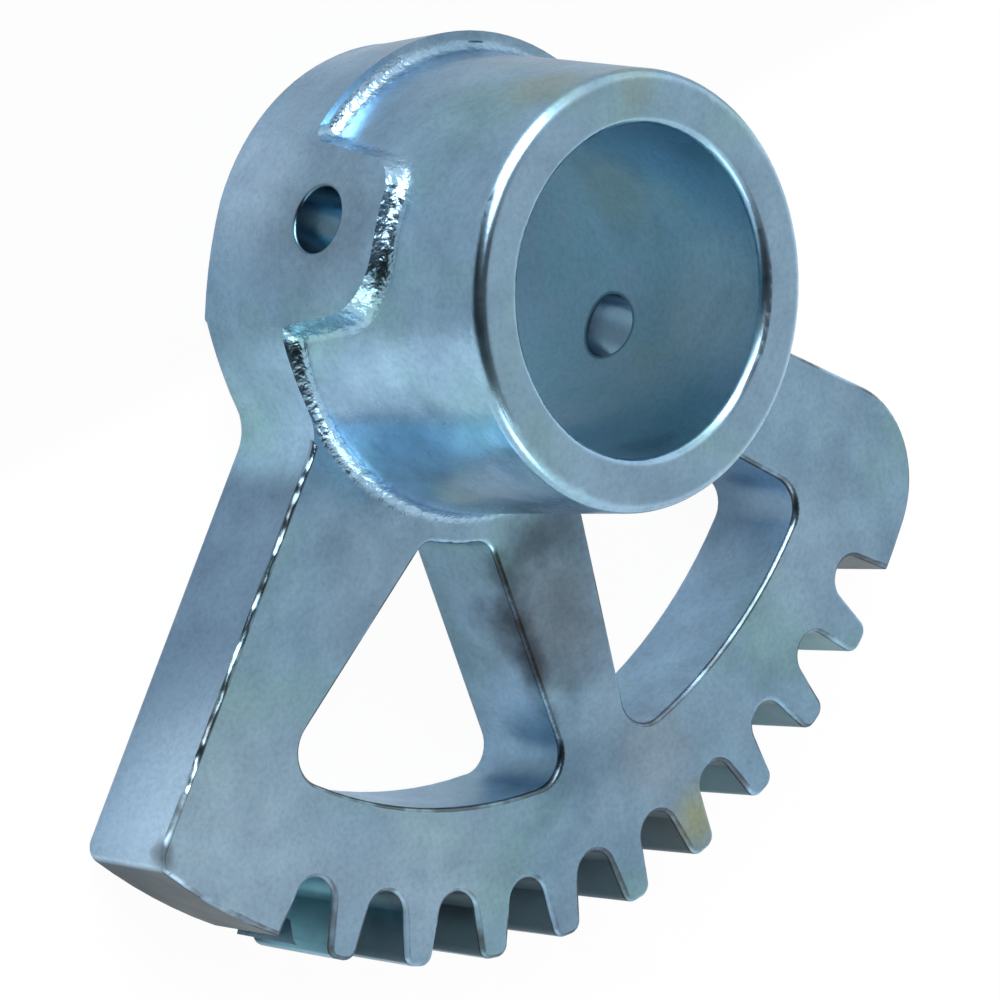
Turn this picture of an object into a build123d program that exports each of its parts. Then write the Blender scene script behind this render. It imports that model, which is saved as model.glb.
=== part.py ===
"""Concave adjusting gear: one forged steel piece with a bored hub and a toothed sector.

The bore runs along Z and its axis passes through the origin. The flat back face lies on z = 0,
the hub stands up from it, and the middle spoke points along -Y. All lengths are millimetres.
"""

from build123d import *
from math import atan2, cos, degrees, hypot, radians, sin, sqrt, tan
import os

# Hub and bore
bore_diameter = 44.5
bore_mouth_round = 1.4

hub_back_diameter = 65.65
hub_length = 51.3
hub_draft = 3.6
hub_rim_round = 1.9
hub_root_fillet = 2.0

# Plate, and the collar that rings the hub at plate level
plate_thickness = 16.0
face_edge_round = 0.8
collar_back_radius = 32.45
collar_front_radius = 34.6
collar_back_shift = 0.65

# Boss and cross hole for the locking pin
pin_angle = 143.0
pin_hole_diameter = 9.1
pin_hole_height = 21.2
pin_hole_edge = 0.4
boss_angle = 146.0
boss_face_distance = 33.0
boss_face_width = 26.0
boss_crown_radius = 63.0
boss_top = 32.8
boss_base_width = 29.0
boss_top_width = 18.0
boss_side_draft = 20.0
boss_upper_round = 4.0
boss_lower_round = 8.0

# Left arm, outer edge, with the shoulder above it
left_arm_angle = -136.7
left_arm_offset = 15.4
neck_radius = 33.4
shoulder_crown_radius = 60.0
neck_round = 6.0
left_corner_round = 2.5

# Right arm, outer edge
right_arm_angle = -40.8
right_arm_offset = 10.85
right_end_round = 15.0
right_neck_round = 6.0
right_neck_span = 35.0

# Toothed rim
tip_radius = 94.4
plain_rim_step = 0.9
tooth_depth = 10.2
rim_depth = 11.7
teeth_per_turn = 42
tooth_count = 9
gap_root_round = 3.3
gap_flank_angle = 12.0
gap_draft = 4.0
tooth_tip_round = 1.9
web_width = 6.5
web_depth = 3.2

# Windows between the arms and the middle spoke
window_inner_radius = 36.0
window_draft = 3.0
spoke_inner_width = 17.4
spoke_taper = 4.0
left_window_angle = -151.2
left_window_offset = 17.1
right_window_angle = -44.0
right_window_offset = 3.3
window_outer_round = 4.8
window_inner_round = 3.0

# Worked out from the sizes above; cut_depth is more than the plate is thick
hub_slope = tan(radians(hub_draft))
hub_back_radius = hub_back_diameter / 2
hub_front_radius = hub_back_radius - hub_length * hub_slope
plain_rim_radius = tip_radius - plain_rim_step
root_radius = tip_radius - tooth_depth
rim_inner_radius = root_radius - rim_depth
spoke_angle = -90.0
tooth_pitch = 360 / teeth_per_turn
toothed_span = tooth_pitch * tooth_count
first_gap_angle = spoke_angle - toothed_span / 2
spoke_half_width = spoke_inner_width / 2
spoke_offset = spoke_half_width * cos(radians(spoke_taper)) + window_inner_radius * sin(radians(spoke_taper))
cutter_reach = 2 * tip_radius
trim_reach = collar_front_radius + plate_thickness
cut_depth = 1.25 * plate_thickness
fit_margin = 0.01


def edge_point(angle, offset, run):
    """Point on a straight edge: run along the direction, offset to its left as seen from above."""
    along = Vector(cos(radians(angle)), sin(radians(angle)))
    across = Vector(-along.Y, along.X)
    return along * run + across * offset


def edge_end(angle, offset, radius):
    """Point where a straight edge crosses the circle of the given radius."""
    return edge_point(angle, offset, sqrt(radius**2 - offset**2))


def polar_angle(point):
    """Angle of a point about the bore axis, in degrees from -180 to 180."""
    return degrees(atan2(point.Y, point.X))


def corners_at(sketch, point):
    """Corners of a sketch that lie at a point."""
    return [corner for corner in sketch.vertices() if (Vector(corner) - point).length < fit_margin]


def facing_plane(angle):
    """Upright plane through the bore axis that faces the given direction, with its own Y along Z."""
    facing = edge_point(angle, 0, 1)
    return Plane(origin=(0, 0, 0), x_dir=(-facing.Y, facing.X, 0), z_dir=(facing.X, facing.Y, 0))


# Outline of the plate: boss flat, shoulder, left arm, rim, right arm and its neck
boss_half = boss_face_width / 2
crown_drop = boss_crown_radius - sqrt(boss_crown_radius**2 - boss_half**2)
shoulder_start = edge_point(boss_angle, boss_half, boss_face_distance - crown_drop)
left_neck = edge_end(left_arm_angle, -left_arm_offset, neck_radius)
left_tip = edge_end(left_arm_angle, -left_arm_offset, plain_rim_radius)
right_tip = edge_end(right_arm_angle, right_arm_offset, plain_rim_radius)
right_neck = edge_end(right_arm_angle, right_arm_offset, collar_back_radius)
neck_side = edge_end(right_arm_angle + right_neck_span, right_arm_offset, collar_back_radius)
left_rim_angle = polar_angle(left_tip)
right_rim_angle = polar_angle(right_tip)
last_gap_angle = first_gap_angle + toothed_span

with BuildSketch() as plate_outline:
    with BuildLine():
        RadiusArc(shoulder_start, left_neck, -shoulder_crown_radius)
        Line(left_neck, left_tip)
        left_plain = CenterArc((0, 0), plain_rim_radius, left_rim_angle, first_gap_angle - left_rim_angle)
        tips = CenterArc((0, 0), tip_radius, first_gap_angle, toothed_span)
        right_plain = CenterArc((0, 0), plain_rim_radius, last_gap_angle, right_rim_angle - last_gap_angle)
        Line(left_plain @ 1, tips @ 0)
        Line(tips @ 1, right_plain @ 0)
        Polyline(
            right_plain @ 1,
            right_neck,
            neck_side,
            (0, 0),
            edge_point(boss_angle, 0, collar_front_radius),
            edge_point(boss_angle, boss_half, collar_front_radius),
            shoulder_start,
        )
    make_face()
    fillet(corners_at(plate_outline, right_neck), radius=right_neck_round)
    fillet(corners_at(plate_outline, left_neck), radius=neck_round)
    fillet(corners_at(plate_outline, left_tip), radius=left_corner_round)
    fillet(corners_at(plate_outline, right_tip), radius=right_end_round)

# One gap between two teeth, drawn along +X: a round root and two straight flanks, narrower at the back
gap_centre = root_radius + gap_root_round
flank_start_x = gap_centre - gap_root_round * sin(radians(gap_flank_angle))
flank_start_y = gap_root_round * cos(radians(gap_flank_angle))
flank_run = 2 * tooth_depth
flank_end_x = flank_start_x + flank_run
flank_end_y = flank_start_y + flank_run * tan(radians(gap_flank_angle))

with BuildPart() as tooth_gap:
    with BuildSketch(Plane.XY.offset(plate_thickness)):
        with BuildLine():
            ThreePointArc((flank_start_x, flank_start_y), (root_radius, 0), (flank_start_x, -flank_start_y))
            Polyline(
                (flank_start_x, -flank_start_y),
                (flank_end_x, -flank_end_y),
                (flank_end_x, flank_end_y),
                (flank_start_x, flank_start_y),
            )
        make_face()
    extrude(amount=-cut_depth, taper=gap_draft)

# Web of metal left in the first gap: it leans on the first tooth, and is widest at the back
with BuildPart() as gap_web:
    with BuildSketch(facing_plane(first_gap_angle + tooth_pitch / 2).offset(plain_rim_radius)):
        with BuildLine():
            Polyline(
                (0, face_edge_round),
                (-web_width, face_edge_round),
                (0, plate_thickness - face_edge_round),
                close=True,
            )
        make_face()
    extrude(amount=-web_depth)


def window_face(arm_angle, arm_offset, side):
    """Sketch of one window, between the inner edge of an arm and the spoke edge on that side."""
    spoke_edge_angle = spoke_angle - side * spoke_taper
    spoke_edge_offset = side * spoke_offset
    with BuildSketch(Plane.XY.offset(plate_thickness)) as window:
        Circle(rim_inner_radius)
        Circle(window_inner_radius, mode=Mode.SUBTRACT)
        with BuildLine():
            Polyline(
                edge_end(arm_angle, arm_offset, window_inner_radius),
                edge_point(arm_angle, arm_offset, cutter_reach),
                edge_point(spoke_edge_angle, spoke_edge_offset, cutter_reach),
                edge_end(spoke_edge_angle, spoke_edge_offset, window_inner_radius),
                close=True,
            )
        make_face(mode=Mode.INTERSECT)
        middle_radius = (window_inner_radius + rim_inner_radius) / 2
        fillet([v for v in window.vertices() if hypot(v.X, v.Y) > middle_radius], window_outer_round)
        fillet([v for v in window.vertices() if hypot(v.X, v.Y) < middle_radius], window_inner_round)
    return window.sketch


left_window = window_face(left_window_angle, left_window_offset, -1)
right_window = window_face(right_window_angle, -right_window_offset, 1)

# Collar: it rings the hub above the arms, and its back circle sits a little towards the boss
with BuildPart() as collar:
    with BuildSketch():
        with Locations(edge_point(boss_angle, 0, collar_back_shift)):
            Circle(collar_back_radius)
    with BuildSketch(Plane.XY.offset(plate_thickness)):
        Circle(collar_front_radius)
    loft()

# Boss: its outline stands on the collar, and its sides spread towards the hub
with BuildPart() as boss:
    with BuildSketch(facing_plane(boss_angle).offset(collar_front_radius)) as boss_outline:
        with BuildLine():
            Polyline(
                (-boss_base_width / 2, 0),
                (-boss_top_width / 2, boss_top),
                (boss_top_width / 2, boss_top),
                (boss_base_width / 2, 0),
                close=True,
            )
        make_face()
        fillet(corners_at(boss_outline, Vector(-boss_top_width / 2, boss_top)), radius=boss_upper_round)
        fillet(corners_at(boss_outline, Vector(boss_top_width / 2, boss_top)), radius=boss_lower_round)
    extrude(amount=-collar_front_radius, taper=-boss_side_draft)
    with BuildSketch():
        Circle(collar_front_radius)
    extrude(amount=hub_length, mode=Mode.INTERSECT)
    split(bisect_by=Plane.XY.offset(plate_thickness / 2), keep=Keep.TOP)

# What is left off around the boss and the shoulder: all that lies outside the crown and the plate
with BuildSketch() as shoulder_trim:
    with BuildLine():
        trim_arc = CenterArc((0, 0), trim_reach, boss_angle, 360 + left_arm_angle - boss_angle)
        Polyline(trim_arc @ 1, (0, 0), trim_arc @ 0)
    make_face()
    add(plate_outline.sketch, mode=Mode.SUBTRACT)

with BuildSketch() as crown_trim:
    with Locations(edge_point(boss_angle, 0, boss_face_distance)):
        Rectangle(boss_face_distance / 2, 2 * boss_face_width, rotation=boss_angle)
    with Locations(edge_point(boss_angle, 0, boss_face_distance - boss_crown_radius)):
        Circle(boss_crown_radius, mode=Mode.SUBTRACT)


def on_face_edge(edge):
    """True for an edge round the front or back face of the plate, outside the collar."""
    middle = edge @ 0.5
    level = all(abs((edge @ end).Z - middle.Z) < fit_margin for end in (0, 1))
    return level and hypot(middle.X, middle.Y) > collar_front_radius


def on_tooth_tip(edge):
    """True for an edge where a flank of a tooth meets the tip of that tooth."""
    ends = [edge @ 0, edge @ 1]
    outside = all(abs(hypot(end.X, end.Y) - tip_radius) < fit_margin for end in ends)
    return outside and abs(ends[0].Z - ends[1].Z) > plate_thickness / 2


def on_hub_root(edge):
    """True for an edge where the tapered outside of the hub meets the boss or the front face."""
    middle = edge @ 0.5
    wall_radius = hub_front_radius + (hub_length - middle.Z) * hub_slope
    on_wall = abs(hypot(middle.X, middle.Y) - wall_radius) < fit_margin
    above_plate = plate_thickness - fit_margin < middle.Z < hub_length - hub_rim_round
    return on_wall and above_plate and edge.geom_type != GeomType.LINE


def on_boss_foot(edge):
    """True for an edge where a side of the boss rises from the front face of the collar."""
    level = all(abs((edge @ end).Z - plate_thickness) < fit_margin for end in (0, 0.5, 1))
    near_end, far_end = sorted(hypot((edge @ end).X, (edge @ end).Y) for end in (0, 1))
    crosses_collar = abs(far_end - near_end) > (collar_front_radius - hub_back_radius) / 2
    middle = edge @ 0.5
    return level and crosses_collar and hypot(middle.X, middle.Y) < collar_front_radius


def on_pin_mouth(edge):
    """True for the edge where the cross hole opens on the crowned face of the boss."""
    middle = edge @ 0.5
    outside = middle.dot(edge_point(pin_angle, 0, 1)) > hub_back_radius - pin_hole_edge
    height = middle.Z - pin_hole_height
    from_axis = hypot(middle.dot(edge_point(pin_angle + 90, 0, 1)), height)
    return outside and abs(from_axis - pin_hole_diameter / 2) < fit_margin


def round_edges(part, radius, height):
    """Full circles of the given radius about the bore axis at the given height."""
    return [
        edge
        for edge in part.edges().filter_by(GeomType.CIRCLE)
        if abs(edge.radius - radius) < fit_margin and abs((edge @ 0).Z - height) < fit_margin
    ]


with BuildPart() as adjusting_gear:
    extrude(plate_outline.sketch, amount=plate_thickness)
    with PolarLocations(0, tooth_count + 1, first_gap_angle, toothed_span, endpoint=True):
        add(tooth_gap.part, mode=Mode.SUBTRACT)
    fillet([edge for edge in adjusting_gear.edges() if on_tooth_tip(edge)], radius=tooth_tip_round)
    extrude(left_window, amount=-cut_depth, taper=window_draft, mode=Mode.SUBTRACT)
    extrude(right_window, amount=-cut_depth, taper=window_draft, mode=Mode.SUBTRACT)
    fillet([edge for edge in adjusting_gear.edges() if on_face_edge(edge)], radius=face_edge_round)
    add(gap_web.part)
    add(collar.part)
    add(boss.part)
    Cone(
        hub_back_radius,
        hub_front_radius,
        hub_length,
        align=(Align.CENTER, Align.CENTER, Align.MIN),
    )

    extrude(crown_trim.sketch, amount=hub_length, mode=Mode.SUBTRACT)
    concave = [edge for edge in adjusting_gear.edges() if on_boss_foot(edge) or on_hub_root(edge)]
    fillet(concave, radius=hub_root_fillet)
    extrude(shoulder_trim.sketch, amount=hub_length, mode=Mode.SUBTRACT)

    # Bore with rounded mouths, and the cross hole for the locking pin through both walls
    with BuildSketch():
        Circle(bore_diameter / 2)
    extrude(amount=hub_length, mode=Mode.SUBTRACT)
    fillet(round_edges(adjusting_gear, hub_front_radius, hub_length), radius=hub_rim_round)
    fillet(round_edges(adjusting_gear, bore_diameter / 2, hub_length), radius=bore_mouth_round)
    with BuildSketch(facing_plane(pin_angle)):
        with Locations((0, pin_hole_height)):
            Circle(pin_hole_diameter / 2)
    extrude(amount=trim_reach, both=True, mode=Mode.SUBTRACT)
    fillet([edge for edge in adjusting_gear.edges() if on_pin_mouth(edge)], radius=pin_hole_edge)

adjusting_gear.part.label = "adjusting_gear"
os.makedirs("parts", exist_ok=True)
export_step(adjusting_gear.part, "parts/adjusting_gear.step")
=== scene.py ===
"""Studio picture of the concave adjusting gear, a zinc-plated forged steel toothed sector.

The gear lies on its flat back on a pale sweep. The bore axis is the world Z axis, the back face
lies on z = 0 and the middle spoke points along -Y. Lengths are metres unless a name says otherwise.
"""

import logging
from dataclasses import dataclass, field
from enum import Enum
from math import cos, pi, radians, sin

import bpy
from mathutils import Matrix, Vector

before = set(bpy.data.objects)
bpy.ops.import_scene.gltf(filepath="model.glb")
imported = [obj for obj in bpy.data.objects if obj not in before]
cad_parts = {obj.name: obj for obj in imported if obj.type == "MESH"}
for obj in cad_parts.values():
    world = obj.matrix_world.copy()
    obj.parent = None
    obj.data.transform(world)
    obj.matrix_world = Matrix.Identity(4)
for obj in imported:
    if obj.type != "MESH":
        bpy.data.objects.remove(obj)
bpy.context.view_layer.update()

LOG = logging.getLogger("adjusting_gear")
MM = 0.001
GEAR_NODE = "adjusting_gear"
WHITE = "FFFFFF"

Colour = tuple[float, float, float, float]
Pair = tuple[float, float]


def linear(code: str) -> Colour:
    """Turn an sRGB hex colour into linear light.

    Args:
        code: Six hex digits, such as "8FB0CC".

    Returns:
        Red, green, blue and alpha in linear light.
    """
    channels = []
    for start in (0, 2, 4):
        value = int(code[start:start + 2], 16) / 255
        channels.append(value / 12.92 if value <= 0.04045 else ((value + 0.055) / 1.055) ** 2.4)
    return (channels[0], channels[1], channels[2], 1.0)


def add_node(
    tree: bpy.types.NodeTree,
    kind: str,
    settings: dict[str, object] | None = None,
    inputs: dict[str | int, object] | None = None,
) -> bpy.types.Node:
    """Add a shader node, set its properties, and fill or link its input sockets.

    Args:
        tree: The node tree that gets the node.
        kind: Blender's name of the node type.
        settings: Properties of the node itself.
        inputs: Socket name or number, with a constant or an output socket to link from.

    Returns:
        The new node.
    """
    node = tree.nodes.new(kind)
    for name, value in (settings or {}).items():
        setattr(node, name, value)
    for name, value in (inputs or {}).items():
        if isinstance(value, bpy.types.NodeSocket):
            tree.links.new(value, node.inputs[name])
        else:
            node.inputs[name].default_value = value
    return node


class LampRole(Enum):
    """What each soft box does for the picture."""

    TOP = "top"
    LOW = "low"


def product(tree: bpy.types.NodeTree, *factors: bpy.types.NodeSocket | float) -> bpy.types.NodeSocket:
    """Multiply shader values.

    Args:
        tree: The node tree that gets the nodes.
        factors: Two or more sockets or numbers.

    Returns:
        The socket that holds their product.
    """
    result = factors[0]
    for factor in factors[1:]:
        node = add_node(tree, "ShaderNodeMath", {"operation": "MULTIPLY"}, {0: result, 1: factor})
        result = node.outputs[0]
    return result


def ease(
    tree: bpy.types.NodeTree, value: bpy.types.NodeSocket, none_at: float, full_at: float
) -> bpy.types.NodeSocket:
    """Turn a value smoothly into a share from 0 to 1.

    Args:
        tree: The node tree that gets the node.
        value: The socket to read.
        none_at: Where the share is 0.
        full_at: Where the share is 1.

    Returns:
        The socket that holds the share.
    """
    limits = {"Value": value, "From Min": none_at, "From Max": full_at}
    settings = {"interpolation_type": "SMOOTHSTEP"}
    return add_node(tree, "ShaderNodeMapRange", settings, limits).outputs["Result"]


def band(
    tree: bpy.types.NodeTree, value: bpy.types.NodeSocket, low: float, high: float, soft: float
) -> bpy.types.NodeSocket:
    """Mark where a value lies between two limits.

    Args:
        tree: The node tree that gets the nodes.
        value: The socket to read.
        low: Lower limit.
        high: Upper limit.
        soft: How far the mark takes to fade out past either limit.

    Returns:
        A socket that is 1 between the limits and 0 well outside them.
    """
    middle, half = (low + high) / 2, (high - low) / 2
    offset = add_node(tree, "ShaderNodeMath", {"operation": "SUBTRACT"}, {0: value, 1: middle})
    reach = add_node(tree, "ShaderNodeMath", {"operation": "ABSOLUTE"}, {0: offset.outputs[0]})
    return ease(tree, reach.outputs[0], half + soft, half)


def blend(
    tree: bpy.types.NodeTree,
    share: bpy.types.NodeSocket | float,
    below: bpy.types.NodeSocket,
    above: bpy.types.NodeSocket | Colour,
    mode: str = "MIX",
) -> bpy.types.NodeSocket:
    """Lay one colour over another.

    Args:
        tree: The node tree that gets the node.
        share: How much of the upper colour shows.
        below: The colour underneath.
        above: The colour on top.
        mode: How the two meet.

    Returns:
        The socket that holds the blended colour.
    """
    settings = {"data_type": "RGBA", "blend_type": mode}
    # The mix node keeps its colour sockets after the number and vector ones.
    mix = add_node(tree, "ShaderNodeMix", settings, {0: share, 6: below, 7: above})
    return mix.outputs[2]


@dataclass(frozen=True)
class Zones:
    """Limits of the gear's surfaces, in millimetres, degrees or as the normal's share of upright.

    A pair holds the two limits of a band, or where a mark is 0 and then where it is 1. A ring is
    measured from the bore axis all round, and a reach from that axis towards one azimuth.
    """

    left_side_azimuth: float = 133.3
    right_side_azimuth: float = 49.2
    pin_azimuth: float = 143.0
    pin_height: float = 21.2
    pin_wall: Pair = (5.1, 4.7)
    bore_wall: Pair = (22.7, 22.35)
    hub_face: Pair = (50.9, 51.2)
    upright: Pair = (0.5, 0.2)
    front_round_tilt: Pair = (0.2, 0.95)
    front_round_height: Pair = (15.0, 16.02)
    arm_edge_reach: Pair = (13.0, 18.0)
    arm_side_reach: Pair = (14.7, 16.5)
    arm_side_ring: Pair = (36.0, 42.0)
    tooth_ring: Pair = (83.6, 96.0)
    seam_ring: Pair = (81.0, 84.0)
    seam_side: Pair = (30.0, 40.0)
    root_tilt: Pair = (0.14, 0.96)
    root_ring: Pair = (28.0, 35.5)
    root_height: Pair = (16.05, 36.0)
    outside_pin: Pair = (0.5, 0.0)
    window_tilt: Pair = (-0.2, 0.2)
    window_ring: Pair = (38.0, 83.0)
    gap_tilt: Pair = (-0.3, 0.3)
    gap_ring: Pair = (83.6, 93.8)
    short_of_left_side: Pair = (14.6, 13.0)
    short_of_right_side: Pair = (9.5, 8.0)
    rinse_ring: Pair = (39.0, 94.0)


@dataclass(frozen=True)
class Probe:
    """Where on the gear a shaded point lies, in millimetres, and which way its surface faces."""

    tree: bpy.types.NodeTree
    place: bpy.types.NodeSocket
    height: bpy.types.NodeSocket
    radius: bpy.types.NodeSocket
    tilt: bpy.types.NodeSocket
    zones: Zones = field(default_factory=Zones)

    @classmethod
    def on(cls, tree: bpy.types.NodeTree) -> "Probe":
        """Measure the point's place on the gear.

        Args:
            tree: The node tree that gets the nodes.

        Returns:
            The probe with its sockets.
        """
        metres = add_node(tree, "ShaderNodeTexCoord").outputs["Object"]
        scaled = {0: metres, "Scale": 1 / MM}
        place = add_node(tree, "ShaderNodeVectorMath", {"operation": "SCALE"}, scaled).outputs["Vector"]
        height = add_node(tree, "ShaderNodeSeparateXYZ", inputs={0: place}).outputs["Z"]
        flattened = {0: place, 1: (1, 1, 0)}
        level = add_node(tree, "ShaderNodeVectorMath", {"operation": "MULTIPLY"}, flattened)
        radius = add_node(tree, "ShaderNodeVectorMath", {"operation": "LENGTH"}, {0: level.outputs[0]})
        facing = add_node(tree, "ShaderNodeNewGeometry").outputs["Normal"]
        tilt = add_node(tree, "ShaderNodeSeparateXYZ", inputs={0: facing}).outputs["Z"]
        return cls(tree, place, height, radius.outputs["Value"], tilt)

    def lumps(
        self, size_mm: float, detail: float = 3.0, stretch: tuple[float, float, float] = (1.0, 1.0, 1.0)
    ) -> bpy.types.NodeSocket:
        """Make an uneven pattern in space.

        Args:
            size_mm: About how far apart the lumps are.
            detail: How many finer layers ride on them.
            stretch: Factors on the place along X, Y and Z before the pattern is read.

        Returns:
            The socket that holds the pattern, mostly between 0.3 and 0.7.
        """
        place = self.place
        if stretch != (1.0, 1.0, 1.0):
            settings = {"operation": "MULTIPLY"}
            place = add_node(self.tree, "ShaderNodeVectorMath", settings, {0: place, 1: stretch}).outputs[0]
        inputs = {"Vector": place, "Scale": 1 / size_mm, "Detail": detail, "Roughness": 0.55}
        return add_node(self.tree, "ShaderNodeTexNoise", inputs=inputs).outputs["Fac"]

    def past(self, azimuth: float) -> bpy.types.NodeSocket:
        """Measure how far the point lies out from the bore axis towards an azimuth.

        Args:
            azimuth: Degrees from +X towards +Y.

        Returns:
            The socket that holds the distance in millimetres.
        """
        settings = {"operation": "DOT_PRODUCT"}
        inputs = {0: self.place, 1: tuple(direction(azimuth, 0.0))}
        return add_node(self.tree, "ShaderNodeVectorMath", settings, inputs).outputs["Value"]

    def plate_edges(self) -> bpy.types.NodeSocket:
        """Mark the rounded front edges of the plate, windows and teeth.

        Returns:
            The socket that holds the mark.
        """
        tilted = band(self.tree, self.tilt, *self.zones.front_round_tilt, soft=0.04)
        at_front = band(self.tree, self.height, *self.zones.front_round_height, soft=0.15)
        return product(self.tree, tilted, at_front)

    def arm_edge(self) -> bpy.types.NodeSocket:
        """Mark the front edge of the left arm's outer side, where the dies met.

        Returns:
            The socket that holds the mark.
        """
        reach = self.past(self.zones.left_side_azimuth)
        at_side = band(self.tree, reach, *self.zones.arm_edge_reach, soft=0.5)
        return product(self.tree, self.plate_edges(), at_side)

    def arm_side(self) -> bpy.types.NodeSocket:
        """Mark the outer side of the left arm.

        Returns:
            The socket that holds the mark.
        """
        reach = self.past(self.zones.left_side_azimuth)
        return product(
            self.tree,
            band(self.tree, reach, *self.zones.arm_side_reach, soft=0.4),
            ease(self.tree, self.tilt, *self.zones.upright),
            ease(self.tree, self.radius, *self.zones.arm_side_ring),
        )

    def tooth_edges(self) -> bpy.types.NodeSocket:
        """Mark the front edges of the teeth, which are duller than the other edges.

        Returns:
            The socket that holds the mark.
        """
        at_teeth = band(self.tree, self.radius, *self.zones.tooth_ring, soft=0.5)
        return product(self.tree, self.plate_edges(), at_teeth)

    def window_seam(self) -> bpy.types.NodeSocket:
        """Mark the front edge of the right window's outer wall.

        Returns:
            The socket that holds the mark.
        """
        side = add_node(self.tree, "ShaderNodeSeparateXYZ", inputs={0: self.place}).outputs["X"]
        arc = band(self.tree, self.radius, *self.zones.seam_ring, soft=0.3)
        return product(self.tree, self.plate_edges(), arc, ease(self.tree, side, *self.zones.seam_side))

    def pin_hole(self) -> bpy.types.NodeSocket:
        """Mark the wall of the cross hole.

        Returns:
            The socket that holds the mark.
        """
        middle = (0.0, 0.0, self.zones.pin_height)
        along = tuple(direction(self.zones.pin_azimuth, 0.0))
        steps = (("SUBTRACT", {1: middle}), ("CROSS_PRODUCT", {1: along}), ("LENGTH", {}))
        away = self.place
        for operation, other in steps:
            step = add_node(self.tree, "ShaderNodeVectorMath", {"operation": operation}, {0: away, **other})
            away = step.outputs["Value" if operation == "LENGTH" else "Vector"]
        return ease(self.tree, away, *self.zones.pin_wall)

    def roots(self) -> bpy.types.NodeSocket:
        """Mark the hollow fillets at the foot of the hub wall and of the boss.

        Returns:
            The socket that holds the mark.
        """
        return product(
            self.tree,
            band(self.tree, self.tilt, *self.zones.root_tilt, soft=0.05),
            band(self.tree, self.radius, *self.zones.root_ring, soft=0.5),
            band(self.tree, self.height, *self.zones.root_height, soft=0.4),
            ease(self.tree, self.pin_hole(), *self.zones.outside_pin),
        )

    def window_walls(self) -> bpy.types.NodeSocket:
        """Mark the upright walls of the two windows.

        Returns:
            The socket that holds the mark.
        """
        reach = self.past(self.zones.left_side_azimuth)
        return product(
            self.tree,
            band(self.tree, self.tilt, *self.zones.window_tilt, soft=0.1),
            band(self.tree, self.radius, *self.zones.window_ring, soft=1.0),
            ease(self.tree, reach, *self.zones.short_of_left_side),
        )

    def gaps(self) -> bpy.types.NodeSocket:
        """Mark the walls of the gaps between the teeth.

        Returns:
            The socket that holds the mark.
        """
        left_reach = self.past(self.zones.left_side_azimuth)
        right_reach = self.past(self.zones.right_side_azimuth)
        return product(
            self.tree,
            band(self.tree, self.radius, *self.zones.gap_ring, soft=0.4),
            band(self.tree, self.tilt, *self.zones.gap_tilt, soft=0.2),
            ease(self.tree, left_reach, *self.zones.short_of_left_side),
            ease(self.tree, right_reach, *self.zones.short_of_right_side),
        )

    def bore(self) -> bpy.types.NodeSocket:
        """Mark the machined bore."""
        return ease(self.tree, self.radius, *self.zones.bore_wall)

    def rim_face(self) -> bpy.types.NodeSocket:
        """Mark the machined end face of the hub."""
        return ease(self.tree, self.height, *self.zones.hub_face)

    def rinsed_edges(self) -> bpy.types.NodeSocket:
        """Mark the front edges that rinse water ran along."""
        ring = band(self.tree, self.radius, *self.zones.rinse_ring, soft=2.0)
        return product(self.tree, self.plate_edges(), ring)


@dataclass(frozen=True)
class Patch:
    """One soft-edged patch of another colour: a tint of the passivation, a stain, or painted light or shade.

    The patch is full out to `full_part` of its reach and gone at `gone_part` of it. A pattern
    pushes its edge inwards by up to `ragged_part` of the reach.
    """

    centre_mm: tuple[float, float, float]
    reach_mm: float
    colour: str
    share: float
    walls_only: bool = False
    squeeze: tuple[float, float, float] = (1.0, 1.0, 1.0)
    full_part: float = 0.5
    gone_part: float = 1.3
    ragged_part: float = 0.6

    def lay(
        self, probe: Probe, below: bpy.types.NodeSocket, wander: bpy.types.NodeSocket
    ) -> bpy.types.NodeSocket:
        """Lay the patch over the colour below it.

        Args:
            probe: The point's place on the gear.
            below: The colour without the patch.
            wander: A pattern that makes the patch's edge uneven.

        Returns:
            The colour with the patch.
        """
        tree = probe.tree
        steps = (("SUBTRACT", {1: self.centre_mm}), ("MULTIPLY", {1: self.squeeze}), ("LENGTH", {}))
        away = probe.place
        for operation, other in steps:
            step = add_node(tree, "ShaderNodeVectorMath", {"operation": operation}, {0: away, **other})
            away = step.outputs["Value" if operation == "LENGTH" else "Vector"]
        ragged = {0: wander, 1: self.ragged_part * self.reach_mm, 2: away}
        edge = add_node(tree, "ShaderNodeMath", {"operation": "MULTIPLY_ADD"}, ragged).outputs[0]
        share = ease(tree, edge, self.gone_part * self.reach_mm, self.full_part * self.reach_mm)
        if self.walls_only:
            share = product(tree, share, ease(tree, probe.tilt, *probe.zones.upright))
        return blend(tree, product(tree, share, self.share), below, linear(self.colour))


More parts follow.
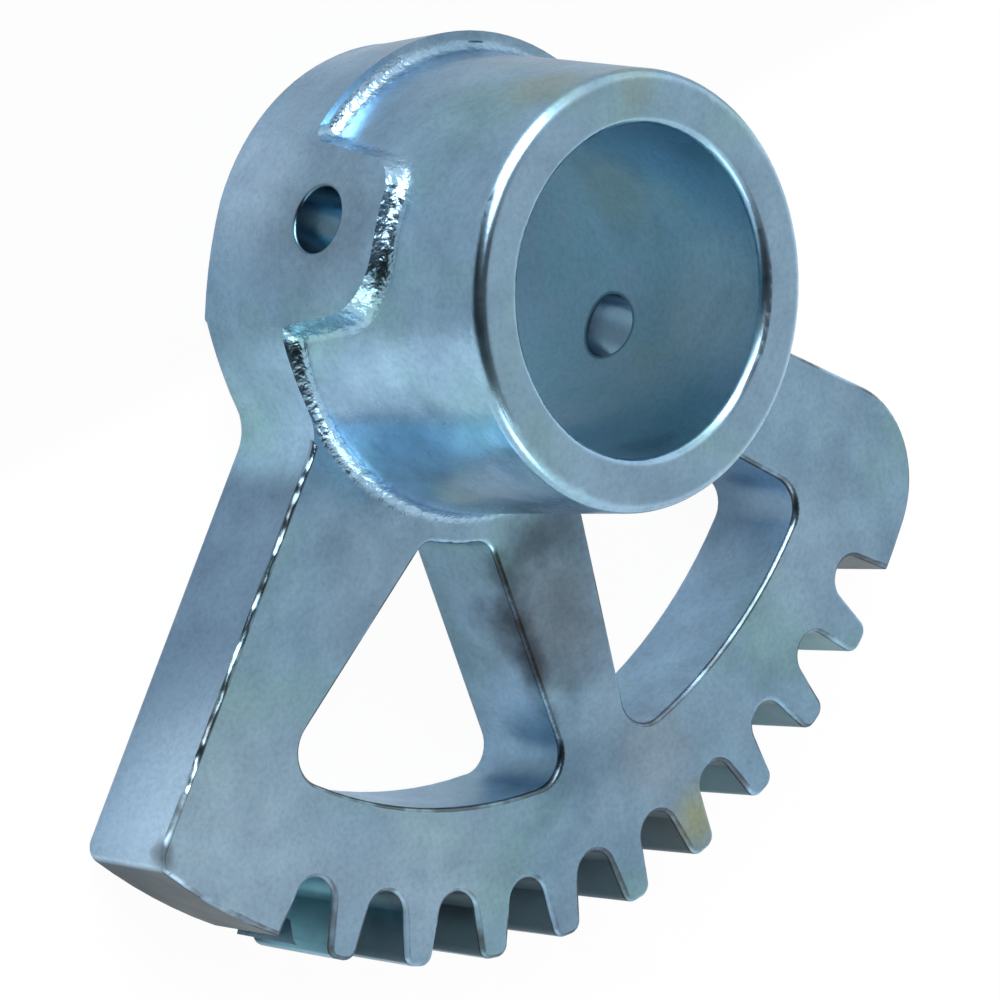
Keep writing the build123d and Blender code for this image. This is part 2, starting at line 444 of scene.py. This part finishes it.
@dataclass(frozen=True)
class ZincPlate:
    """Bright zinc plating, blue passivated, on a steel forging that was only machined in the bore.

    The plating is thin, so the forging's fine dimples show through it as a satin sheen, and the
    passivation drifts between pale blue, sea green and grey. Soot and chromate dry brown along
    the window edges, where the rinse water ran off last.
    """

    # Colours of the passivation and of what dried or settled on it, and colours that paint light and shade
    # where noted
    blue: str = "9DC3DD"
    green: str = "97C3CC"
    slate: str = "9BBCD5"
    pale: str = "BEDCF3"
    deep: str = "7599B1"
    arm_side_shade: str = "6F8AA2"
    shade: str = "48687C"
    gap_shade: str = "2A3D44"
    lagoon: str = "547C88"
    reed: str = "6C98A1"
    pool: str = "7EBCCE"
    spoke_darkening: str = "3C4248"
    straw: str = "B3BA94"
    grey: str = "8798A6"
    silver: str = "B8C8D2"
    sea: str = "93B4B6"
    teal: str = "A2D6EA"
    stain: str = "3A3028"
    gleam: str = "CBF1FF"
    cloud_tint: str = "DDE0E4"
    grain_tint: str = "F0F0F0"

    # Sizes of the patterns. Real dimples are about 0.3 mm and real turning marks about 0.2 mm
    # apart, and both are drawn coarser so that they still show from a step away.
    drift_mm: float = 22.0
    cloud_mm: float = 7.0
    rinse_mm: float = 9.0
    gloss_mm: float = 9.0
    grain_mm: float = 0.8
    wave_mm: float = 10.0
    bead_mm: float = 1.5
    seam_mm: float = 4.0
    turning_mm: float = 0.9
    turning_stretch: tuple[float, float, float] = (0.05, 0.05, 1.0)

    # Where in a pattern its effects begin and end
    drift_places: tuple[float, float, float] = (0.34, 0.5, 0.66)
    cloud_places: Pair = (0.3, 0.7)
    grain_places: Pair = (0.3, 0.6)
    bore_places: Pair = (0.75, 0.35)
    rinse_places: Pair = (0.38, 0.6)
    stain_share: float = 0.75

    # Depths of the relief
    grain_depth_mm: float = 0.014
    wave_depth_mm: float = 0.25
    bead_depth_mm: float = 0.35
    seam_depth_mm: float = 1.8
    turning_depth_mm: float = 0.02

    # Roughness of the sheen, how far it falls and rises, and what the duller places add to it
    roughness: float = 0.25
    gloss_fall: float = 0.04
    gloss_rise: float = 0.08
    bore_dulling: float = 0.06
    window_dulling: float = 0.14
    gap_dulling: float = 0.1
    tooth_edge_dulling: float = 0.3

    def build(self) -> bpy.types.Material:
        """Make the plating material.

        Returns:
            The finished material.
        """
        material = bpy.data.materials.new("blue_passivated_zinc")
        material.use_nodes = True
        tree = material.node_tree
        tree.nodes.clear()
        probe = Probe.on(tree)
        shader = add_node(
            tree,
            "ShaderNodeBsdfPrincipled",
            inputs={
                "Base Color": self.colour(probe),
                "Metallic": 1.0,
                "Roughness": self.sheen(probe),
                "Normal": self.relief(probe),
            },
        )
        add_node(tree, "ShaderNodeOutputMaterial", inputs={"Surface": shader.outputs["BSDF"]})
        return material

    def patches(self) -> tuple[Patch, ...]:
        """List the patches that the photograph shows, in the order in which they are laid.

        Returns:
            The patches.
        """
        return (
            # Painted reflection: the plate's lower left is paled where it would mirror brighter light.
            Patch((-66.0, -56.0, 16.0), 30.0, self.pale, 0.75),
            Patch((-36.0, -74.0, 16.0), 20.0, self.pale, 0.6),
            # Painted reflection: the collar's upper left wall is paled.
            Patch((-24.0, 26.0, 5.0), 17.0, self.pale, 1.0, walls_only=True),
            # Painted shade: the hub's left wall is greyed.
            Patch((-26.0, 20.0, 22.0), 15.0, self.grey, 0.55, walls_only=True),
            # Greyer and darker patches on the spoke near the hub.
            Patch((-1.0, -50.0, 16.0), 15.0, self.grey, 0.8),
            Patch((-1.0, -50.0, 16.0), 15.0, self.spoke_darkening, 0.16),
            Patch((10.0, -76.0, 16.0), 10.0, self.silver, 0.4),
            Patch((21.0, 5.0, 26.0), 10.0, self.sea, 0.7),
            Patch((-8.0, -71.0, 16.0), 13.0, self.deep, 0.6),
            Patch((45.0, -62.0, 16.0), 16.0, self.pale, 0.3),
            Patch((-8.0, 32.0, 40.0), 14.0, self.green, 0.8),
            Patch((14.0, -88.0, 14.0), 7.0, self.straw, 0.9),
            # Painted reflection: the hub's lower left wall is deepened where it mirrors the plate.
            Patch((-28.0, -12.0, 31.0), 14.0, self.deep, 0.7),
            # Painted shade: the foot fillet at the top of the hub is darkened.
            Patch((8.0, 30.0, 17.0), 9.0, self.deep, 0.6),
            # Darker patches on the spoke near the hub.
            Patch((-8.5, -52.0, 17.0), 7.0, self.spoke_darkening, 0.85, squeeze=(1.3, 0.4, 1.0)),
            Patch((3.0, -38.0, 17.0), 9.0, self.spoke_darkening, 0.6, squeeze=(0.7, 1.3, 1.0)),
            Patch((-76.0, -51.0, 15.5), 3.0, self.stain, 0.55, squeeze=(1.3, 0.7, 1.0)),
            Patch((-2.0, 30.0, 45.0), 8.0, self.straw, 0.4),
            Patch((8.0, 27.0, 51.3), 6.0, self.straw, 0.3),
            # Painted highlight on the bore wall.
            Patch((20.0, -9.5, 44.5), 15.0, self.gleam, 0.9, walls_only=True),
            Patch((-33.6, -1.0, 10.8), 10.0, self.deep, 0.35, walls_only=True),
        )

    def gap_light_patches(self) -> tuple[Patch, ...]:
        """List the paler places, painted light, on the painted shade of the walls between the teeth.

        Returns:
            The patches.
        """
        return (
            Patch((31.0, -85.0, 9.0), 16.0, self.lagoon, 0.9, walls_only=True),
            Patch((48.0, -76.0, 9.0), 16.0, self.reed, 0.9, walls_only=True),
            Patch((-50.0, -72.0, 9.0), 13.0, self.pool, 0.95, walls_only=True),
        )

    def colour(self, probe: Probe) -> bpy.types.NodeSocket:
        """Let the passivation's colour drift over the surface and add the stains.

        Args:
            probe: The point's place on the gear.

        Returns:
            The base colour.
        """
        tree = probe.tree
        drift = add_node(tree, "ShaderNodeValToRGB", inputs={"Fac": probe.lumps(self.drift_mm, detail=2.0)})
        fill_ramp(drift, tuple(zip(self.drift_places, (self.green, self.blue, self.slate))))
        cloud = probe.lumps(self.cloud_mm, detail=4.0)
        bored = product(tree, probe.bore(), ease(tree, cloud, *self.bore_places))
        first = (
            (bored, 1.0, self.teal),
            # Painted shade: the left arm's outer side is darkened.
            (probe.arm_side(), 0.95, self.arm_side_shade),
            # Painted light: the window walls are paled.
            (probe.window_walls(), 0.4, self.pale),
        )
        colour = self.tinted(tree, drift.outputs["Color"], first)
        for patch in self.patches():
            colour = patch.lay(probe, colour, cloud)
        grain = probe.lumps(self.grain_mm, detail=2.0)
        darkened = ((cloud, self.cloud_places, self.cloud_tint), (grain, self.grain_places, self.grain_tint))
        for pattern, places, tint in darkened:
            ramp = add_node(tree, "ShaderNodeValToRGB", inputs={"Fac": pattern})
            fill_ramp(ramp, tuple(zip(places, (tint, WHITE))))
            colour = blend(tree, 1.0, colour, ramp.outputs["Color"], "MULTIPLY")
        # Painted shade: the walls between the teeth are darkened.
        colour = self.tinted(tree, colour, ((probe.gaps(), 0.9, self.gap_shade),))
        # Painted light: paler places on that painted shade.
        for patch in self.gap_light_patches():
            colour = patch.lay(probe, colour, cloud)
        rinse = ease(tree, probe.lumps(self.rinse_mm), *self.rinse_places)
        dried = product(tree, probe.rinsed_edges(), rinse)
        last = (
            (probe.pin_hole(), 0.75, self.shade),
            # Painted light: the hub's end face is paled a little.
            (probe.rim_face(), 0.12, self.pale),
            (dried, self.stain_share, self.stain),
        )
        return self.tinted(tree, colour, last)

    @staticmethod
    def tinted(
        tree: bpy.types.NodeTree,
        below: bpy.types.NodeSocket,
        tints: tuple[tuple[bpy.types.NodeSocket, float, str], ...],
    ) -> bpy.types.NodeSocket:
        """Lay plain colours over marked places, one after the other.

        Args:
            tree: The node tree that gets the nodes.
            below: The colour underneath.
            tints: For each colour the mark of its place, its share there and its sRGB hex code.

        Returns:
            The colour with the tints.
        """
        for where, share, code in tints:
            below = blend(tree, product(tree, where, share), below, linear(code))
        return below

    def sheen(self, probe: Probe) -> bpy.types.NodeSocket:
        """Let the gloss vary a little, with the bore, the upright walls and the tooth edges duller.

        Args:
            probe: The point's place on the gear.

        Returns:
            The roughness.
        """
        tree = probe.tree
        limits = {
            "Value": probe.lumps(self.gloss_mm),
            "From Min": self.cloud_places[0],
            "From Max": self.cloud_places[1],
            "To Min": self.roughness - self.gloss_fall,
            "To Max": self.roughness + self.gloss_rise,
        }
        rough = add_node(tree, "ShaderNodeMapRange", inputs=limits).outputs["Result"]
        duller = (
            (probe.bore(), self.bore_dulling),
            (probe.window_walls(), self.window_dulling),
            (probe.gaps(), self.gap_dulling),
            (probe.tooth_edges(), self.tooth_edge_dulling),
        )
        for where, more in duller:
            inputs = {0: where, 1: more, 2: rough}
            rough = add_node(tree, "ShaderNodeMath", {"operation": "MULTIPLY_ADD"}, inputs).outputs[0]
        return rough

    def relief(self, probe: Probe) -> bpy.types.NodeSocket:
        """Raise the forged dimples, the beaded fillets, the die seams and the turning marks.

        Args:
            probe: The point's place on the gear.

        Returns:
            The shading normal.
        """
        tree = probe.tree
        highest = {"operation": "MAXIMUM"}
        turned = add_node(tree, "ShaderNodeMath", highest, {0: probe.bore(), 1: probe.rim_face()}).outputs[0]
        forged = add_node(tree, "ShaderNodeMath", {"operation": "SUBTRACT"}, {0: 1.0, 1: turned}).outputs[0]
        both = {0: probe.arm_edge(), 1: probe.window_seam()}
        seams = add_node(tree, "ShaderNodeMath", highest, both).outputs[0]
        turning = probe.lumps(self.turning_mm, detail=1.0, stretch=self.turning_stretch)
        layers = (
            (probe.lumps(self.grain_mm, detail=2.0), forged, self.grain_depth_mm),
            (probe.lumps(self.wave_mm, detail=1.0), forged, self.wave_depth_mm),
            (probe.lumps(self.bead_mm, detail=2.0), probe.roots(), self.bead_depth_mm),
            (probe.lumps(self.seam_mm, detail=0.6), seams, self.seam_depth_mm),
            (turning, turned, self.turning_depth_mm),
        )
        total = 0.0
        for pattern, where, depth_mm in layers:
            # Centred patterns leave no step at the border of their place.
            swing = add_node(tree, "ShaderNodeMath", {"operation": "SUBTRACT"}, {0: pattern, 1: 0.5})
            part = {0: product(tree, swing.outputs[0], where), 1: depth_mm, 2: total}
            total = add_node(tree, "ShaderNodeMath", {"operation": "MULTIPLY_ADD"}, part).outputs[0]
        inputs = {"Height": total, "Strength": 1.0, "Distance": MM}
        return add_node(tree, "ShaderNodeBump", inputs=inputs).outputs["Normal"]


def fill_ramp(ramp: bpy.types.Node, stops: tuple[tuple[float, str], ...]) -> None:
    """Give a colour ramp its stops.

    Args:
        ramp: The colour ramp node.
        stops: For each stop a place from 0 to 1 and an sRGB hex colour.
    """
    elements = ramp.color_ramp.elements
    while len(elements) < len(stops):
        elements.new(0.5)
    for element, (position, code) in zip(elements, stops):
        element.position = position
        element.color = linear(code)


@dataclass
class Gear:
    """The forged gear itself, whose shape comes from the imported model."""

    finish: ZincPlate = field(default_factory=ZincPlate)

    def build(self) -> list[bpy.types.Object]:
        """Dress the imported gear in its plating.

        Returns:
            The gear.
        """
        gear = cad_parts[GEAR_NODE]
        material = self.finish.build()
        for slot in gear.material_slots:
            slot.material = material
        return [gear]


def direction(azimuth: float, elevation: float) -> Vector:
    """Find the unit vector towards a point of the sky.

    Args:
        azimuth: Degrees from +X towards +Y.
        elevation: Degrees above the floor.

    Returns:
        The unit vector.
    """
    turn, lift = radians(azimuth), radians(elevation)
    return Vector((cos(turn) * cos(lift), sin(turn) * cos(lift), sin(lift)))


@dataclass(frozen=True)
class SoftBox:
    """One studio lamp aimed at the gear; its glow is how bright its face looks, 1 being white."""

    role: LampRole
    azimuth: float
    elevation: float
    width: float
    height: float
    glow: float
    distance: float = 1.2

    def build(self, aim: Vector) -> bpy.types.Object:
        """Hang the lamp round the aim point and turn it to face that point.

        Args:
            aim: The point that the lamp looks at.

        Returns:
            The lamp.
        """
        towards = direction(self.azimuth, self.elevation)
        lamp = bpy.data.lights.new(f"{self.role.value}_box", "AREA")
        lamp.shape = "RECTANGLE"
        lamp.size = self.width
        lamp.size_y = self.height
        lamp.energy = self.glow * pi * self.width * self.height
        holder = bpy.data.objects.new(lamp.name, lamp)
        holder.location = aim + towards * self.distance
        holder.rotation_euler = towards.to_track_quat("Z", "Y").to_euler()
        bpy.context.scene.collection.objects.link(holder)
        return holder


@dataclass(frozen=True)
class Viewpoint:
    """Where the photograph was taken from, as worked out from the gear's own edges."""

    aim_mm: tuple[float, float, float] = (-1.73, -32.07, 11.69)
    azimuth: float = 152.914
    elevation: float = 48.173
    roll: float = 95.237
    distance_mm: float = 813.94
    lens_mm: float = 210.14
    sensor_mm: float = 36.0
    clip_start_mm: float = 10.0

    def build(self) -> bpy.types.Object:
        """Create the camera and make it the scene's own.

        Returns:
            The camera.
        """
        back = direction(self.azimuth, self.elevation)
        level_up = (Vector((0, 0, 1)) - back * back.z).normalized()
        level_right = level_up.cross(back)
        roll = radians(self.roll)
        up = level_up * cos(roll) - level_right * sin(roll)
        right = up.cross(back)
        data = bpy.data.cameras.new("photo_camera")
        data.lens = self.lens_mm
        data.sensor_width = self.sensor_mm
        data.sensor_fit = "HORIZONTAL"
        data.clip_start = self.clip_start_mm * MM
        camera = bpy.data.objects.new("photo_camera", data)
        place = Vector(self.aim_mm) * MM + back * self.distance_mm * MM
        camera.matrix_world = Matrix.Translation(place) @ Matrix((right, up, back)).transposed().to_4x4()
        bpy.context.scene.collection.objects.link(camera)
        bpy.context.scene.camera = camera
        return camera


@dataclass(frozen=True)
class DimSpot:
    """A darker part of the room, with a soft edge; the level is what is left of the light there."""

    azimuth: float
    elevation: float
    core_deg: float
    edge_deg: float
    level: float


@dataclass(frozen=True)
class Dome:
    """The studio round the gear: pale walls and ceiling with some darker parts."""

    pale: float = 1.1
    spots: tuple[DimSpot, ...] = (
        DimSpot(132.0, 42.0, 28.0, 42.0, 0.02),
        DimSpot(175.0, 46.0, 28.0, 42.0, 0.02),
        DimSpot(153.0, 6.0, 22.0, 34.0, 0.04),
        DimSpot(153.0, 84.0, 20.0, 36.0, 0.06),
        DimSpot(-27.0, 46.0, 12.0, 45.0, 0.6),
    )

    def build(self) -> None:
        """Make the surrounding light."""
        world = bpy.data.worlds.new("studio")
        bpy.context.scene.world = world
        world.use_nodes = True
        tree = world.node_tree
        tree.nodes.clear()
        ray = add_node(tree, "ShaderNodeTexCoord").outputs["Generated"]
        glow = self.pale
        for spot in self.spots:
            towards = tuple(direction(spot.azimuth, spot.elevation))
            both = {0: ray, 1: towards}
            facing = add_node(tree, "ShaderNodeVectorMath", {"operation": "DOT_PRODUCT"}, both)
            limits = {
                "Value": facing.outputs["Value"],
                "From Min": cos(radians(spot.edge_deg)),
                "From Max": cos(radians(spot.core_deg)),
                "To Min": 1.0,
                "To Max": spot.level,
            }
            fade = add_node(tree, "ShaderNodeMapRange", {"interpolation_type": "SMOOTHSTEP"}, limits)
            glow = product(tree, fade.outputs["Result"], glow)
        light = add_node(tree, "ShaderNodeBackground", inputs={"Color": linear(WHITE), "Strength": glow})
        add_node(tree, "ShaderNodeOutputWorld", inputs={"Surface": light.outputs[0]})


@dataclass(frozen=True)
class FloorCard:
    """The pale card that the gear lies on, white on the near side and painted grey shade on the far side.

    The camera sees `white_share` of it as plain white, and the plating mirrors `mirrored_share`
    of it so. The rest is lit paint, which keeps the gear's shadow and the grey far side.
    """

    span: float = 6.0
    drop: float = 0.0002
    near: str = "F8F8F8"
    far: str = "A2A6AA"
    join_mm: float = 4.0
    white_share: float = 0.96
    mirrored_share: float = 0.25

    def build(self) -> bpy.types.Object:
        """Lay the card just under the gear.

        Returns:
            The card.
        """
        half = self.span / 2
        corners = [(-half, -half, 0), (half, -half, 0), (half, half, 0), (-half, half, 0)]
        mesh = bpy.data.meshes.new("floor")
        mesh.from_pydata(corners, [], [(0, 1, 2, 3)])
        mesh.materials.append(self.paint())
        floor = bpy.data.objects.new("floor", mesh)
        floor.location.z = -self.drop
        bpy.context.scene.collection.objects.link(floor)
        return floor

    def paint(self) -> bpy.types.Material:
        """Make the card's paint, which keeps shadows but shows partly white.

        Returns:
            The finished material.
        """
        material = bpy.data.materials.new("floor_card")
        material.use_nodes = True
        tree = material.node_tree
        tree.nodes.clear()
        place = add_node(tree, "ShaderNodeTexCoord").outputs["Object"]
        depth = add_node(tree, "ShaderNodeSeparateXYZ", inputs={0: place}).outputs["Y"]
        far_side = ease(tree, depth, -self.join_mm * MM, self.join_mm * MM)
        near = add_node(tree, "ShaderNodeRGB")
        near.outputs[0].default_value = linear(self.near)
        # The grey far side is painted shade, which the plating mirrors.
        colour = blend(tree, far_side, near.outputs[0], linear(self.far))
        card = add_node(tree, "ShaderNodeBsdfDiffuse", inputs={"Color": colour}).outputs[0]
        inputs = {"Color": linear(WHITE), "Strength": 1.0}
        white = add_node(tree, "ShaderNodeEmission", inputs=inputs).outputs[0]
        ray = add_node(tree, "ShaderNodeLightPath").outputs
        inputs = {0: ray["Is Glossy Ray"], 1: ray["Is Transmission Ray"]}
        bounced = add_node(tree, "ShaderNodeMath", {"operation": "MAXIMUM"}, inputs).outputs[0]
        mirrored = product(tree, bounced, self.mirrored_share)
        inputs = {0: ray["Is Camera Ray"], 1: self.white_share, 2: mirrored}
        share = add_node(tree, "ShaderNodeMath", {"operation": "MULTIPLY_ADD"}, inputs).outputs[0]
        mix = add_node(tree, "ShaderNodeMixShader", inputs={0: share, 1: card, 2: white})
        add_node(tree, "ShaderNodeOutputMaterial", inputs={"Surface": mix.outputs[0]})
        return material


@dataclass
class Studio:
    """The pale floor, the surrounding light and the soft boxes."""

    aim: tuple[float, float, float] = (0.0, -0.03, 0.02)
    floor: FloorCard = field(default_factory=FloorCard)
    dome: Dome = field(default_factory=Dome)
    lamps: tuple[SoftBox, ...] = (
        SoftBox(LampRole.TOP, 96.0, 32.0, 0.75, 1.25, 8.0),
        SoftBox(LampRole.LOW, 233.0, 27.0, 0.6, 0.5, 3.0),
    )

    def build(self) -> list[bpy.types.Object]:
        """Lay the floor, set the world and hang the lamps.

        Returns:
            The floor and the lamps.
        """
        self.dome.build()
        return [self.floor.build(), *(lamp.build(Vector(self.aim)) for lamp in self.lamps)]


def main() -> None:
    """Build the gear, the studio and the camera."""
    logging.basicConfig(level=logging.INFO, format="%(name)s: %(message)s")
    bpy.context.scene.view_settings.view_transform = "Standard"
    for piece in Gear().build():
        LOG.info("gear piece %s", piece.name)
    for piece in Studio().build():
        LOG.info("studio piece %s", piece.name)
    LOG.info("camera %s", Viewpoint().build().name)


if __name__ == "__main__":
    main()
